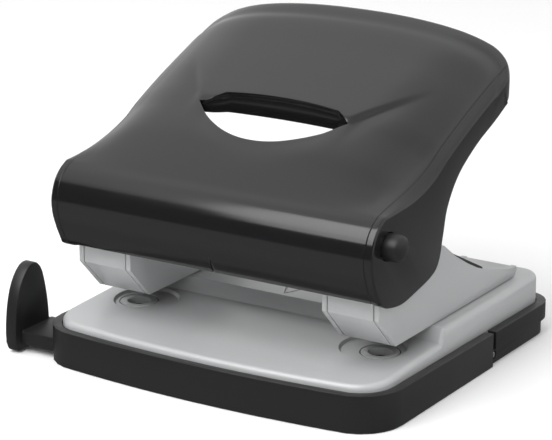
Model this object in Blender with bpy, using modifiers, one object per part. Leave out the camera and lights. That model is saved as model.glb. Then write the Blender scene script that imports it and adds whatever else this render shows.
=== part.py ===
"""Two-hole office punch: steel base and towers, moulded lever, tray with flap, sliding paper guide.

Frame: metres, +Z up, +Y to the rear, +X to the right when looking at the front.
The origin is under the middle of the base, 20.5 mm behind the line of the holes, on the surface
that the punch stands on.
Sizes below are in millimetres and are turned to metres where an object is made.
"""
import math

import bmesh
import bpy
from mathutils import Matrix, Vector

MM = 0.001
WELD = 0.00001

# ---------------------------------------------------------------- driving sizes (millimetres)
GAP = 0.3                    # running gap between neighbouring pieces
HOLE_SPACING = 80.0          # the two punched holes, centre to centre
HOLE_X = HOLE_SPACING / 2
HOLE_LINE_Y = -20.5          # line of the holes, from the origin

# steel base plate
PLATE_HALF_W = 53.0
PLATE_FRONT_Y = -48.8
PLATE_REAR_Y = 52.2
PLATE_FRONT_BOW = 2.4        # how far the middle of the front edge stands ahead of its corners
PLATE_CORNER_R = 6.0
PLATE_FRONT_CORNER_R = 10.0
PLATE_EDGE_R = 1.6           # rolled edge between table and skirt
PLATE_T = 1.2
PLATE_SKIRT_Z = 7.2          # lower edge of the skirt
TABLE_Z = 13.5               # table height on the line of the holes
TABLE_SLOPE = 0.04           # the table climbs to the rear
PLATEAU_Z = 17.8
RISER_Y = -8.2               # middle of the step up to the plateau
RISER_RUN = 2.2              # length of the step

# moulded tray and flap
TRAY_RIM = 3.0               # the tray stands out this far past the plate
TRAY_RIM_FRONT_Z = 10.5
TRAY_RIM_REAR_Z = 9.5
TRAY_FLOOR_T = 1.5
TRAY_WALL_T = 4.4            # lower wall, which carries the plate's skirt
TRAY_EDGE_R = 1.4
SEAM_FRONT_Y = 15.5          # the front tray ends here
SEAM_W = 1.7                 # open seam between tray and flap
FLAP_PIN_BACK = 1.2          # hinge axis behind the flap's front edge
FLAP_PIN_Z = 2.4
FLAP_PIN_R = 1.0
FLAP_LUG_T = 2.4
FLAP_LUG_X = PLATE_HALF_W + TRAY_RIM - TRAY_WALL_T - 3.0
FLAP_STEP = 1.2              # the flap's foot stands in from its upper wall
FLAP_STEP_Z = 4.6

# towers
SHEET_T = 1.5
TOWER_HALF_W = 8.8           # outside of a side plate, from the hole's axis
PANEL_Y = -36.8              # front face of a tower
TOWER_KNEE_Z = 27.7          # the front face slants back below this height
TOWER_TIP_Y = -27.5          # lower end of the slanted front
TOWER_TOP_Z = 39.3           # top edge of the side plates behind the pivot
TOWER_SHOULDER_Y = -1.5      # where that top edge starts to fall
TOWER_REAR_Y = 43.4
PANEL_TOP_Z = 40.6
EAR_R = 5.0
WEB_START_Y = 25.6           # the side plates are joined by a web behind this
RIVET_YS = (15.0, 30.0)
RIVET_R = 1.4
RIVET_HEAD_R = 2.6
RIVET_HEAD_T = 1.2
FLANGE_START_Y = 11.0
FLANGE_RISE = 0.15           # the flange lies this far above the plates' lower edges
FLANGE_T = 0.8
WEB_SET_IN = 0.2             # the web lies this far below the plates' top edges

# pivot, press levers and punch pins
PIVOT_Y = -37.1
PIVOT_Z = 49.2
AXLE_R = 2.5
AXLE_END_RIGHT = HOLE_X + TOWER_HALF_W - 0.2
CLIP_R = 4.4
CLIP_T = 0.8
LEVER_T = 2.0
LEVER_GAP = 2.2              # space between a press lever and its clip
LEVER_X = HOLE_X - TOWER_HALF_W - GAP - CLIP_T - LEVER_GAP - LEVER_T
LEVER_R = 5.2
LEVER_PAD_Z = 59.4           # top of the lever's folded pad
LEVER_PAD_W = 9.0
LEVER_PAD_FRONT = 5.0        # the pad reaches this far to the front and rear of its screw
BAR_R = 3.0
BAR_Z = 50.4
BAR_END = HOLE_X + TOWER_HALF_W - SHEET_T - 1.7
SCREW_R = 1.1
SCREW_HEAD_R = 2.3
SCREW_HEAD_T = 1.4
SCREW_BITE = 3.4
BOSS_R = 3.2
PIN_R = 3.0
PIN_TIP_Z = 18.9
PIN_HOLLOW = 1.4
PIN_HEAD_R = PIN_R + 1.6
PIN_HEAD_Z = 43.0
PIN_TOP_Z = 47.0
DIE_R = PIN_R + 2.4
DIE_T = 3.0
GUIDE_SEAT_Z = 30.0          # the spring stands on this face of the pin guide
GUIDE_FRONT_RISE_Y = 6.4     # the ramp rises this far behind the pin
GUIDE_RAMP_TOP_Z = 40.6
GUIDE_RAMP_END_Y = 25.2
GUIDE_RAMP_PROUD = 0.4       # the ramp's rear end stands above the side plates' edge
SPRING_WIRE_R = 0.45
SPRING_R = PIN_R + SPRING_WIRE_R + 0.5
SPRING_TURNS = 6

# lock button on the pivot's right end
KNOB_R = 3.7
KNOB_OUT = 5.0
KNOB_TRAVEL = 2.0

# moulded handle
HANDLE_T = 2.1
HANDLE_SIDE_GAP = 0.7        # between a tower and the handle's side wall
HANDLE_HALF_W = HOLE_X + TOWER_HALF_W + HANDLE_SIDE_GAP + HANDLE_T
AXLE_END_LEFT = HANDLE_HALF_W - 0.7
HANDLE_REAR_Y = 36.6
HANDLE_CORNER_R = 9.0
HANDLE_LIP = 6.0             # height of the lip round the rear edge
CROWN_FLAT_Y = -10.0         # the crown is flat across up to here and rounder behind it
SLOT_END_X = 24.4

# sliding paper guide
BAR_FRONT_Y = -44.9
BAR_W = 15.0
BAR_T = 4.2
BAR_IN_X = PLATE_HALF_W - 12.0
GUIDE_DRAWN = 7.7            # the stop stands this far off the tray's side
FIN_T = 3.8
FIN_X = -(PLATE_HALF_W + TRAY_RIM + GUIDE_DRAWN + FIN_T)

SIDES = (("left", -1), ("right", 1))
SEAM_REAR_Y = SEAM_FRONT_Y + SEAM_W


# ---------------------------------------------------------------- helpers
def clear_scene():
    for obj in list(bpy.data.objects):
        bpy.data.objects.remove(obj, do_unlink=True)


def new_collection(name):
    coll = bpy.data.collections.new(name)
    bpy.context.scene.collection.children.link(coll)
    return coll


def material(name, colour, roughness, metallic):
    mat = bpy.data.materials.new(name)
    mat.use_nodes = True
    shader = mat.node_tree.nodes["Principled BSDF"]
    shader.inputs["Base Color"].default_value = (*colour, 1.0)
    shader.inputs["Roughness"].default_value = roughness
    shader.inputs["Metallic"].default_value = metallic
    return mat


def give(obj, mat, smooth_angle=None):
    obj.data.materials.clear()
    obj.data.materials.append(mat)
    if smooth_angle is not None:
        obj.data.shade_smooth()
        obj.data.set_sharp_from_angle(angle=math.radians(smooth_angle))
    return obj


def cutter(obj):
    for coll in list(obj.users_collection):
        coll.objects.unlink(obj)
    CUTTERS.objects.link(obj)
    obj.hide_render = True
    obj.display_type = "WIRE"
    return obj


def mesh_object(name, bm, coll=None):
    bmesh.ops.recalc_face_normals(bm, faces=bm.faces)
    mesh = bpy.data.meshes.new(name)
    bm.to_mesh(mesh)
    bm.free()
    obj = bpy.data.objects.new(name, mesh)
    (coll or PUNCH).objects.link(obj)
    return obj


def curve_to_mesh(curve_obj, name):
    """Replace a curve by a welded mesh object of the same place and name."""
    bpy.context.view_layer.update()
    depsgraph = bpy.context.evaluated_depsgraph_get()
    mesh = bpy.data.meshes.new_from_object(curve_obj.evaluated_get(depsgraph))
    matrix = curve_obj.matrix_world.copy()
    bpy.data.objects.remove(curve_obj, do_unlink=True)
    bm = bmesh.new()
    bm.from_mesh(mesh)
    bmesh.ops.remove_doubles(bm, verts=bm.verts, dist=WELD)
    bmesh.ops.recalc_face_normals(bm, faces=bm.faces)
    bm.to_mesh(mesh)
    bm.free()
    mesh.name = name
    obj = bpy.data.objects.new(name, mesh)
    PUNCH.objects.link(obj)
    obj.matrix_world = matrix
    return obj


def flat_piece(name, loops, thickness, matrix):
    """A flat outline with holes, extruded by half its thickness to each side of its plane."""
    curve = bpy.data.curves.new(name, "CURVE")
    curve.dimensions = "2D"
    curve.fill_mode = "BOTH"
    curve.extrude = thickness * MM / 2
    for loop in loops:
        spline = curve.splines.new("POLY")
        spline.points.add(len(loop) - 1)
        spline.use_cyclic_u = True
        for point, (a, b) in zip(spline.points, loop):
            point.co = (a * MM, b * MM, 0.0, 1.0)
    obj = bpy.data.objects.new(name + "_outline", curve)
    PUNCH.objects.link(obj)
    obj.matrix_world = matrix
    return curve_to_mesh(obj, name)


def side_plane(x):
    """Matrix that lays an outline of (y, z) pairs in the plane of this x."""
    turn = Matrix(((0, 0, 1), (1, 0, 0), (0, 1, 0))).to_4x4()
    return Matrix.Translation((x * MM, 0, 0)) @ turn


def top_plane(z):
    return Matrix.Translation((0, 0, z * MM))


def arc(centre, radius, start, end, count):
    """Points on an arc, angles in degrees, both ends included."""
    steps = [start + (end - start) * i / (count - 1) for i in range(count)]
    return [(centre[0] + radius * math.cos(math.radians(a)),
             centre[1] + radius * math.sin(math.radians(a))) for a in steps]


def circle(centre, radius, count=24):
    return arc(centre, radius, 0, 360 - 360 / count, count)


def turned(name, profile, location, steps, along_x=False, closed=False):
    """A profile of (radius, height) pairs, outer side from top to bottom, turned by a Screw."""
    bm = bmesh.new()
    verts = [bm.verts.new((r * MM, 0, h * MM)) for r, h in profile]
    for a, b in zip(verts, verts[1:]):
        bm.edges.new((a, b))
    if closed:
        bm.edges.new((verts[-1], verts[0]))
    mesh = bpy.data.meshes.new(name)
    bm.to_mesh(mesh)
    bm.free()
    obj = bpy.data.objects.new(name, mesh)
    PUNCH.objects.link(obj)
    screw = obj.modifiers.new("Turn", "SCREW")
    screw.steps = steps
    screw.render_steps = steps
    screw.use_merge_vertices = True
    screw.merge_threshold = WELD
    obj.location = Vector(location) * MM
    if along_x:
        obj.rotation_euler = (0, math.radians(90), 0)
    return obj


def rod_profile(radius, low, high, chamfer):
    return [(0, high), (radius - chamfer, high), (radius, high - chamfer),
            (radius, low + chamfer), (radius - chamfer, low), (0, low)]


def cylinder_cutter(name, centre, radius, depth, along="Z", segments=32):
    bpy.ops.mesh.primitive_cylinder_add(vertices=segments, radius=radius * MM, depth=depth * MM,
                                        location=Vector(centre) * MM)
    obj = bpy.context.object
    obj.name = name
    if along == "X":
        obj.rotation_euler = (0, math.radians(90), 0)
    return cutter(obj)


def box(name, low, high):
    size = Vector(high) - Vector(low)
    bm = bmesh.new()
    bmesh.ops.create_cube(bm, size=1.0)
    bmesh.ops.scale(bm, vec=size * MM, verts=bm.verts)
    bmesh.ops.translate(bm, vec=(Vector(high) + Vector(low)) * MM / 2, verts=bm.verts)
    return mesh_object(name, bm)


def combine(obj, tool, operation):
    mod = obj.modifiers.new(tool.name, "BOOLEAN")
    mod.operation = operation
    mod.solver = "EXACT"
    mod.object = tool
    return obj


def cut(obj, tool):
    return combine(obj, cutter(tool), "DIFFERENCE")


def join(obj, tool):
    return combine(obj, cutter(tool), "UNION")


def bevel(obj, width, segments, angle=40):
    mod = obj.modifiers.new("Round", "BEVEL")
    mod.width = width * MM
    mod.segments = segments
    mod.limit_method = "ANGLE"
    mod.angle_limit = math.radians(angle)
    return obj


def smooth_through(points, s):
    """Catmull-Rom curve through the points; s runs from 0 to 1 over the whole list."""
    spans = len(points) - 1
    place = min(max(s, 0.0), 1.0) * spans
    i = min(int(place), spans - 1)
    t = place - i
    p1 = Vector(points[i])
    p2 = Vector(points[i + 1])
    p0 = Vector(points[i - 1]) if i > 0 else p1 * 2 - p2
    p3 = Vector(points[i + 2]) if i + 2 <= spans else p2 * 2 - p1
    return 0.5 * ((2 * p1) + (p2 - p0) * t + (2 * p0 - 5 * p1 + 4 * p2 - p3) * t * t
                  + (3 * p1 - p0 - 3 * p2 + p3) * t ** 3)


# ---------------------------------------------------------------- base: plate, tray, flap
def base_outline(grow, corner_points=7, bow_points=12):
    """Outline seen from above: straight sides, bowed front, round corners; grow moves it out."""
    half = PLATE_HALF_W + grow
    rear_radius = PLATE_CORNER_R + grow
    radius = PLATE_FRONT_CORNER_R + grow
    corner_front_y = PLATE_FRONT_Y + PLATE_FRONT_BOW - grow
    rear = PLATE_REAR_Y + grow
    rear_reach = half - rear_radius
    reach = half - radius
    points = arc((rear_reach, rear - rear_radius), rear_radius, 0, 90, corner_points)
    points += arc((-rear_reach, rear - rear_radius), rear_radius, 90, 180, corner_points)
    points += arc((-reach, corner_front_y + radius), radius, 180, 270, corner_points)
    for i in range(1, bow_points):
        x = -reach + 2 * reach * i / bow_points
        points.append((x, corner_front_y - PLATE_FRONT_BOW * (1 - (x / reach) ** 2)))
    points += arc((reach, corner_front_y + radius), radius, 270, 360, corner_points)
    return points


def plate_height(y):
    """Top of the base plate: the sloping table, an S-shaped step, then the level plateau."""
    table = TABLE_Z + TABLE_SLOPE * (y - HOLE_LINE_Y)
    share = min(max((y - RISER_Y) / RISER_RUN + 0.5, 0.0), 1.0)
    blend = share * share * (3 - 2 * share)
    return table * (1 - blend) + PLATEAU_Z * blend


def base_plate(mat):
    bm = bmesh.new()
    rim = [bm.verts.new((x * MM, y * MM, 0)) for x, y in base_outline(0.0)]
    bm.faces.new(rim)
    for share in (-0.5, -0.25, 0.0, 0.25, 0.5):
        geometry = bm.verts[:] + bm.edges[:] + bm.faces[:]
        station = (0, (RISER_Y + share * RISER_RUN) * MM, 0)
        bmesh.ops.bisect_plane(bm, geom=geometry, plane_co=station, plane_no=(0, 1, 0))
    for vert in bm.verts:
        vert.co.z = plate_height(vert.co.y / MM) * MM
    border = [edge for edge in bm.edges if edge.is_boundary]
    skirt = bmesh.ops.extrude_edge_only(bm, edges=border)["geom"]
    for vert in [item for item in skirt if isinstance(item, bmesh.types.BMVert)]:
        vert.co.z = PLATE_SKIRT_Z * MM
    plate = mesh_object("base_plate", bm)
    top = max(plate.data.polygons, key=lambda face: face.area)
    if top.normal.z < 0:
        plate.data.flip_normals()
    bevel(plate, PLATE_EDGE_R, 3, 50)
    wall = plate.modifiers.new("Wall", "SOLIDIFY")
    wall.thickness = PLATE_T * MM
    wall.offset = -1
    wall.use_even_offset = True
    for name, side in SIDES:
        cut(plate, cylinder_cutter(name + "_die_hole", (side * HOLE_X, HOLE_LINE_Y, TABLE_Z),
                                   DIE_R + GAP, 12))
        for i, y in enumerate(RIVET_YS):
            cut(plate, cylinder_cutter(f"{name}_rivet_hole_{i}", (side * HOLE_X, y, PLATEAU_Z),
                                       RIVET_R + GAP, 8, segments=16))
    return give(plate, mat, 35)


def tray_shell(name):
    """The whole moulded tray, before the seam parts it: rim, ledge under the skirt, and floor."""
    height = TRAY_RIM_FRONT_Z
    shell = flat_piece(name, [base_outline(TRAY_RIM)], height, top_plane(height / 2))
    front_y = PLATE_FRONT_Y - TRAY_RIM
    length = PLATE_REAR_Y + TRAY_RIM - front_y
    for vert in shell.data.vertices:
        if vert.co.z > 0:
            share = (vert.co.y / MM - front_y) / length
            vert.co.z -= (TRAY_RIM_FRONT_Z - TRAY_RIM_REAR_Z) * share * MM
    bevel(shell, TRAY_EDGE_R, 3)
    upper_low = PLATE_SKIRT_Z - GAP
    upper = flat_piece(name + "_rim_pocket", [base_outline(GAP)], 20, top_plane(upper_low + 10))
    lower_grow = TRAY_RIM - TRAY_WALL_T
    lower = flat_piece(name + "_chip_space", [base_outline(lower_grow)], 20,
                       top_plane(TRAY_FLOOR_T + 10))
    cut(shell, upper)
    cut(shell, lower)
    return shell


def flap_pin_y():
    return SEAM_REAR_Y + FLAP_PIN_BACK


def chip_tray(mat):
    tray = tray_shell("chip_tray")
    cut(tray, box("tray_seam_cut", (-80, SEAM_FRONT_Y, -5), (80, 80, 30)))
    slot_low = (-80, BAR_FRONT_Y - GAP, TRAY_FLOOR_T)
    slot_high = (-40, BAR_FRONT_Y + BAR_W + GAP, TRAY_FLOOR_T + BAR_T + 3 * GAP)
    cut(tray, box("guide_slot_cut", slot_low, slot_high))
    for name, side in SIDES:
        centre = (flap_pin_y(), FLAP_PIN_Z)
        radius = FLAP_PIN_Z - 0.5
        root_y = SEAM_FRONT_Y - 4.0
        outline = arc(centre, radius, -90, 90, 9) + [(root_y, centre[1] + radius), (root_y, 0.5)]
        lug = flat_piece(name + "_flap_lug", [outline], FLAP_LUG_T, side_plane(side * FLAP_LUG_X))
        join(tray, lug)
        hole = (side * FLAP_LUG_X, centre[0], centre[1])
        cut(tray, cylinder_cutter(name + "_lug_hole", hole, FLAP_PIN_R + GAP, 6, "X", 16))
    return give(tray, mat, 35)


def chip_flap(mat):
    flap = tray_shell("chip_flap")
    cut(flap, box("flap_seam_cut", (-80, -80, -5), (80, SEAM_REAR_Y, 30)))
    foot_depth = 2 * FLAP_STEP_Z
    foot = flat_piece("flap_foot_cut", [base_outline(TRAY_RIM + 6), base_outline(TRAY_RIM - FLAP_STEP)],
                      foot_depth, top_plane(FLAP_STEP_Z - foot_depth / 2))
    cut(flap, foot)
    for name, side in SIDES:
        half = FLAP_LUG_T / 2 + GAP
        centre_x = side * FLAP_LUG_X
        low = (centre_x - half, SEAM_REAR_Y - 1, -1)
        high = (centre_x + half, flap_pin_y() + FLAP_PIN_Z + GAP, 5)
        cut(flap, box(name + "_lug_notch", low, high))
        hole = (side * (FLAP_LUG_X + FLAP_LUG_T), flap_pin_y(), FLAP_PIN_Z)
        cut(flap, cylinder_cutter(name + "_flap_pin_hole", hole, FLAP_PIN_R + GAP, 8, "X", 16))
    return give(flap, mat, 35)


def flap_hinge_pin(name, side, mat):
    """Short steel pin through a lug of the tray into the flap's side wall."""
    first = FLAP_LUG_X - FLAP_LUG_T / 2
    last = FLAP_LUG_X + FLAP_LUG_T + 4.0 - GAP
    half = (last - first) / 2
    pin = turned(name + "_flap_pin", rod_profile(FLAP_PIN_R, -half, half, 0.2),
                 (side * (first + last) / 2, flap_pin_y(), FLAP_PIN_Z), 12, along_x=True)
    return give(pin, mat, 35)


# ---------------------------------------------------------------- towers
def tower_fall():
    """The side plates' top edge behind the pivot, which falls in a shallow hollow curve to the rear."""
    run = TOWER_REAR_Y - TOWER_SHOULDER_Y
    shares = (0.0, 0.158, 0.314, 0.45, 0.563, 0.884, 0.984)
    heights = (1.0, 0.73, 0.515, 0.353, 0.251, 0.046, 0.024)
    low = PLATEAU_Z + GAP + 2.56
    return [(TOWER_SHOULDER_Y + run * a, low + (TOWER_TOP_Z - low) * b) for a, b in zip(shares, heights)]


def side_plate_outline():
    """Outline of a tower's side plate, front ear to low rear end, as (y, z) pairs."""
    rest_z = PLATEAU_Z + GAP
    rear = [(TOWER_REAR_Y, rest_z + 2.1), (TOWER_REAR_Y - 1.6, rest_z)]
    ear = arc((PIVOT_Y, PIVOT_Z), EAR_R, 225, 0, 12)
    front = [(TOWER_TIP_Y, rest_z), (PANEL_Y, TOWER_KNEE_Z), (PANEL_Y, PANEL_TOP_Z)]
    neck = [(PIVOT_Y + EAR_R, TOWER_TOP_Z + 3), (PIVOT_Y + EAR_R + 2, TOWER_TOP_Z)]
    return front + ear + neck + tower_fall() + rear


def top_edge(y):
    """Height of the side plates' falling top edge at y."""
    fall = tower_fall()
    for (y0, z0), (y1, z1) in zip(fall, fall[1:]):
        if y <= y1:
            return z0 + (z1 - z0) * (y - y0) / (y1 - y0)
    return fall[-1][1]


def flange_top():
    return PLATEAU_Z + GAP + FLANGE_RISE + FLANGE_T


def bracket(name, side, mat):
    """One tower: two side plates, a web over their rear end and a riveted flange under it."""
    inner = TOWER_HALF_W - SHEET_T
    centre = side * HOLE_X
    reach = inner + SHEET_T / 2
    axle_hole = circle((PIVOT_Y, PIVOT_Z), AXLE_R + GAP, 20)
    body = flat_piece(name + "_bracket", [side_plate_outline(), axle_hole], SHEET_T,
                      side_plane(centre - side * reach))
    outer_side = flat_piece(name + "_outer_side", [side_plate_outline(), axle_hole], SHEET_T,
                            side_plane(centre + side * reach))
    web_ys = (WEB_START_Y, tower_fall()[-2][0], TOWER_REAR_Y - 1.0)
    upper = [(y, top_edge(y) - WEB_SET_IN) for y in web_ys]
    lower = [(y, z - SHEET_T) for y, z in reversed(upper)]
    width = 2 * inner + SHEET_T
    web = flat_piece(name + "_web", [upper + lower], width, side_plane(centre))
    flange = box(name + "_flange", (centre - width / 2, FLANGE_START_Y, PLATEAU_Z + GAP + FLANGE_RISE),
                 (centre + width / 2, TOWER_REAR_Y - 3.0, flange_top()))
    join(body, outer_side)
    join(body, web)
    join(body, flange)
    for i, y in enumerate(RIVET_YS):
        cut(body, cylinder_cutter(f"{name}_flange_hole_{i}", (centre, y, PLATEAU_Z + 1),
                                  RIVET_R + GAP, 3, segments=16))
    return give(body, mat, 35)


def front_panel(name, side, mat):
    """Folded steel front of a tower, which sits between the side plates with a fine seam."""
    rest_z = PLATEAU_Z + GAP
    slope = Vector((TOWER_TIP_Y - PANEL_Y, rest_z - TOWER_KNEE_Z)).normalized()
    inward = Vector((-slope.y, slope.x)) * SHEET_T
    outer = [(PANEL_Y, PANEL_TOP_Z), (PANEL_Y, TOWER_KNEE_Z), (TOWER_TIP_Y, rest_z)]
    inner = [(TOWER_TIP_Y + inward.x * 1.6, rest_z), (PANEL_Y + SHEET_T, TOWER_KNEE_Z + 0.6),
             (PANEL_Y + SHEET_T, PANEL_TOP_Z)]
    width = 2 * (TOWER_HALF_W - SHEET_T - GAP)
    panel = flat_piece(name + "_front_panel", [outer + inner], width, side_plane(side * HOLE_X))
    return give(panel, mat, 35)


def pin_guide(name, side, mat):
    """Moulded block in the tower: bore for the pin, seat for its spring and a ramp to the rear."""
    floor_z = PLATEAU_Z + 2 * GAP
    clear = SHEET_T + 2.2 * GAP
    seat_front = PANEL_Y + SHEET_T + 2 * GAP
    rise_y = HOLE_LINE_Y + GUIDE_FRONT_RISE_Y
    rivet_clear = flange_top() + RIVET_HEAD_T + 2 * GAP
    outline = [(TOWER_TIP_Y + clear + 1.0, floor_z), (FLANGE_START_Y - GAP * 2, floor_z),
               (FLANGE_START_Y - GAP * 2, rivet_clear), (GUIDE_RAMP_END_Y, rivet_clear),
               (GUIDE_RAMP_END_Y, top_edge(GUIDE_RAMP_END_Y) + GUIDE_RAMP_PROUD),
               (TOWER_SHOULDER_Y - 4.0, GUIDE_RAMP_TOP_Z),
               (rise_y + 1.5, GUIDE_RAMP_TOP_Z), (rise_y, GUIDE_SEAT_Z),
               (seat_front, GUIDE_SEAT_Z), (seat_front, TOWER_KNEE_Z + 1.0)]
    width = 2 * (TOWER_HALF_W - SHEET_T - GAP)
    block = flat_piece(name + "_pin_guide", [outline], width, side_plane(side * HOLE_X))
    bore = (side * HOLE_X, HOLE_LINE_Y, GUIDE_SEAT_Z)
    cut(block, cylinder_cutter(name + "_guide_bore", bore, PIN_R + GAP, 40, segments=24))
    return give(block, mat, 35)


def die(name, side, mat):
    """Hardened ring in the table, with its top face level with the table."""
    inner = PIN_R + GAP
    top = TABLE_Z
    profile = [(DIE_R, top), (DIE_R, top - DIE_T), (inner, top - DIE_T), (inner, top)]
    ring = turned(name + "_die", profile, (side * HOLE_X, HOLE_LINE_Y, 0), 28, closed=True)
    return give(ring, mat, 35)


def bracket_rivet(name, side, y, mat):
    """Rivet that holds a tower's flange to the plateau."""
    low = PLATEAU_Z - PLATE_T - GAP
    high = flange_top() + GAP
    profile = [(0, high + RIVET_HEAD_T), (RIVET_HEAD_R, high + RIVET_HEAD_T), (RIVET_HEAD_R, high),
               (RIVET_R, high), (RIVET_R, low), (RIVET_HEAD_R, low), (RIVET_HEAD_R, low - RIVET_HEAD_T),
               (0, low - RIVET_HEAD_T)]
    return give(turned(name, profile, (side * HOLE_X, y, 0), 16), mat, 35)


# ---------------------------------------------------------------- pivot, levers, pins
def pivot_axle(mat):
    length = AXLE_END_LEFT + AXLE_END_RIGHT
    middle = (AXLE_END_RIGHT - AXLE_END_LEFT) / 2
    axle = turned("pivot_axle", rod_profile(AXLE_R, -length / 2, length / 2, 0.4),
                  (middle, PIVOT_Y, PIVOT_Z), 24, along_x=True)
    return give(axle, mat, 35)


def axle_clip(name, side, mat):
    """Retaining ring on the axle, between a press lever and a tower."""
    x = side * (HOLE_X - TOWER_HALF_W - GAP - CLIP_T / 2)
    loops = [circle((PIVOT_Y, PIVOT_Z), CLIP_R, 24), circle((PIVOT_Y, PIVOT_Z), AXLE_R + GAP, 24)]
    return give(flat_piece(name + "_axle_clip", loops, CLIP_T, side_plane(x)), mat, 35)


def press_lever(name, side, mat):
    """Steel lever in the handle: turns on the axle, holds the press bar, screwed on by its pad."""
    pivot = (PIVOT_Y, PIVOT_Z)
    bar = (HOLE_LINE_Y, BAR_Z)
    pad_front = HOLE_LINE_Y - 2 * LEVER_PAD_FRONT
    lower = arc(pivot, LEVER_R, 180, 270, 7) + arc(bar, LEVER_R, 270, 360, 7)
    upper = [(HOLE_LINE_Y, LEVER_PAD_Z), (pad_front, LEVER_PAD_Z)] + arc(pivot, LEVER_R, 110, 170, 5)
    holes = [circle(pivot, AXLE_R + GAP, 20), circle(bar, BAR_R + GAP, 20)]
    x = side * (LEVER_X + LEVER_T / 2)
    lever = flat_piece(name + "_press_lever", [lower + upper] + holes, LEVER_T, side_plane(x))
    inner_x = side * (LEVER_X + LEVER_T - LEVER_PAD_W)
    outer_x = side * (LEVER_X + LEVER_T / 2)
    low = (min(inner_x, outer_x), pad_front, LEVER_PAD_Z - LEVER_T)
    high = (max(inner_x, outer_x), HOLE_LINE_Y, LEVER_PAD_Z)
    join(lever, box(name + "_lever_pad", low, high))
    x, y = screw_place(side)
    cut(lever, cylinder_cutter(name + "_pad_hole", (x, y, LEVER_PAD_Z), SCREW_R + GAP, 8, segments=16))
    return give(lever, mat, 35)


def screw_place(side):
    x = side * (LEVER_X + LEVER_T - LEVER_PAD_W / 2 - 1.6)
    return x, HOLE_LINE_Y - LEVER_PAD_FRONT


def lever_screw(name, side, mat):
    """Screw up through a lever's pad into the handle's boss."""
    x, y = screw_place(side)
    head_top = LEVER_PAD_Z - LEVER_T - GAP
    top = LEVER_PAD_Z + SCREW_BITE
    profile = [(0, top), (SCREW_R * 0.5, top), (SCREW_R, top - 0.6), (SCREW_R, head_top),
               (SCREW_HEAD_R, head_top), (SCREW_HEAD_R * 0.8, head_top - SCREW_HEAD_T),
               (0, head_top - SCREW_HEAD_T)]
    return give(turned(name + "_lever_screw", profile, (x, y, 0), 14), mat, 35)


def press_bar(mat):
    bar = turned("press_bar", rod_profile(BAR_R, -BAR_END, BAR_END, 0.5),
                 (0, HOLE_LINE_Y, BAR_Z), 24, along_x=True)
    return give(bar, mat, 35)


def punch_pin(name, side, mat):
    """Turned pin with a pressed head and a hollow-ground cutting end; its origin is on its axis."""
    profile = [(0, PIN_TOP_Z), (PIN_HEAD_R - 1.0, PIN_TOP_Z), (PIN_HEAD_R, PIN_TOP_Z - 1.0),
               (PIN_HEAD_R, PIN_HEAD_Z), (PIN_R, PIN_HEAD_Z), (PIN_R, PIN_TIP_Z),
               (0, PIN_TIP_Z + PIN_HOLLOW)]
    pin = turned(name + "_punch_pin", profile, (side * HOLE_X, HOLE_LINE_Y, 0), 28)
    return give(pin, mat, 35)


def return_spring(name, side, mat):
    """Coil round the pin, from the guide's seat to the underside of the pin's head."""
    low = GUIDE_SEAT_Z + SPRING_WIRE_R + 0.1
    high = PIN_HEAD_Z - SPRING_WIRE_R - 0.15
    count = SPRING_TURNS * 10 + 1
    curve = bpy.data.curves.new(name + "_return_spring", "CURVE")
    curve.dimensions = "3D"
    curve.bevel_depth = SPRING_WIRE_R * MM
    curve.bevel_resolution = 1
    curve.use_fill_caps = True
    spline = curve.splines.new("POLY")
    spline.points.add(count - 1)
    for i, point in enumerate(spline.points):
        share = i / (count - 1)
        turn = 2 * math.pi * SPRING_TURNS * share
        point.co = (SPRING_R * math.cos(turn) * MM, SPRING_R * math.sin(turn) * MM,
                    (low + (high - low) * share) * MM, 1.0)
    obj = bpy.data.objects.new(name + "_coil", curve)
    PUNCH.objects.link(obj)
    obj.location = (side * HOLE_X * MM, HOLE_LINE_Y * MM, 0)
    return give(curve_to_mesh(obj, name + "_return_spring"), mat, 60)


def lock_button(mat):
    """Round button at the pivot's right end, which is pushed in to hold the handle down."""
    face = HANDLE_HALF_W + KNOB_OUT
    inner = HOLE_X + TOWER_HALF_W + GAP + KNOB_TRAVEL
    profile = [(0, face), (KNOB_R * 0.62, face - 0.25), (KNOB_R * 0.9, face - 0.9), (KNOB_R, face - 1.9),
               (KNOB_R, inner + 0.3), (KNOB_R - 0.3, inner), (0, inner)]
    button = turned("lock_button", profile, (0, PIVOT_Y, PIVOT_Z), 28, along_x=True)
    return give(button, mat, 35)


# ---------------------------------------------------------------- handle
HANDLE_FOOT = (-41.7, 34.3)      # lower front edge, straight from side to side
ROLL = [HANDLE_FOOT, (-44.2, 39.5), (-45.7, 44.0), (-45.9, 48.2), (-44.4, 52.6), (-41.8, 55.6), (-38.6, 57.5)]
EDGE_LINE = [(-38.6, 57.5), (-33.5, 57.6), (-22.4, 58.5), (-12.7, 61.4), (-5.1, 65.6), (6.6, 71.0),
             (18.7, 75.8), (27.5, 79.0), (36.6, 81.4)]
CROWN_LINE = [(-38.6, 57.5), (-30.5, 63.2), (-23.0, 68.0), (-12.0, 73.2), (0.0, 78.2), (15.5, 84.8),
              (27.0, 89.7), (36.6, 92.8)]
SKIRT_LINE = [HANDLE_FOOT, (-37.5, 32.3), (-30.0, 31.2), (-22.0, 32.4), (-13.0, 34.6), (-9.4, 37.8),
              (-7.4, 44.5), (-5.0, 52.0), (1.0, 59.4), (11.0, 65.4), (21.4, 69.6), (31.0, 74.0)]


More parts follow.
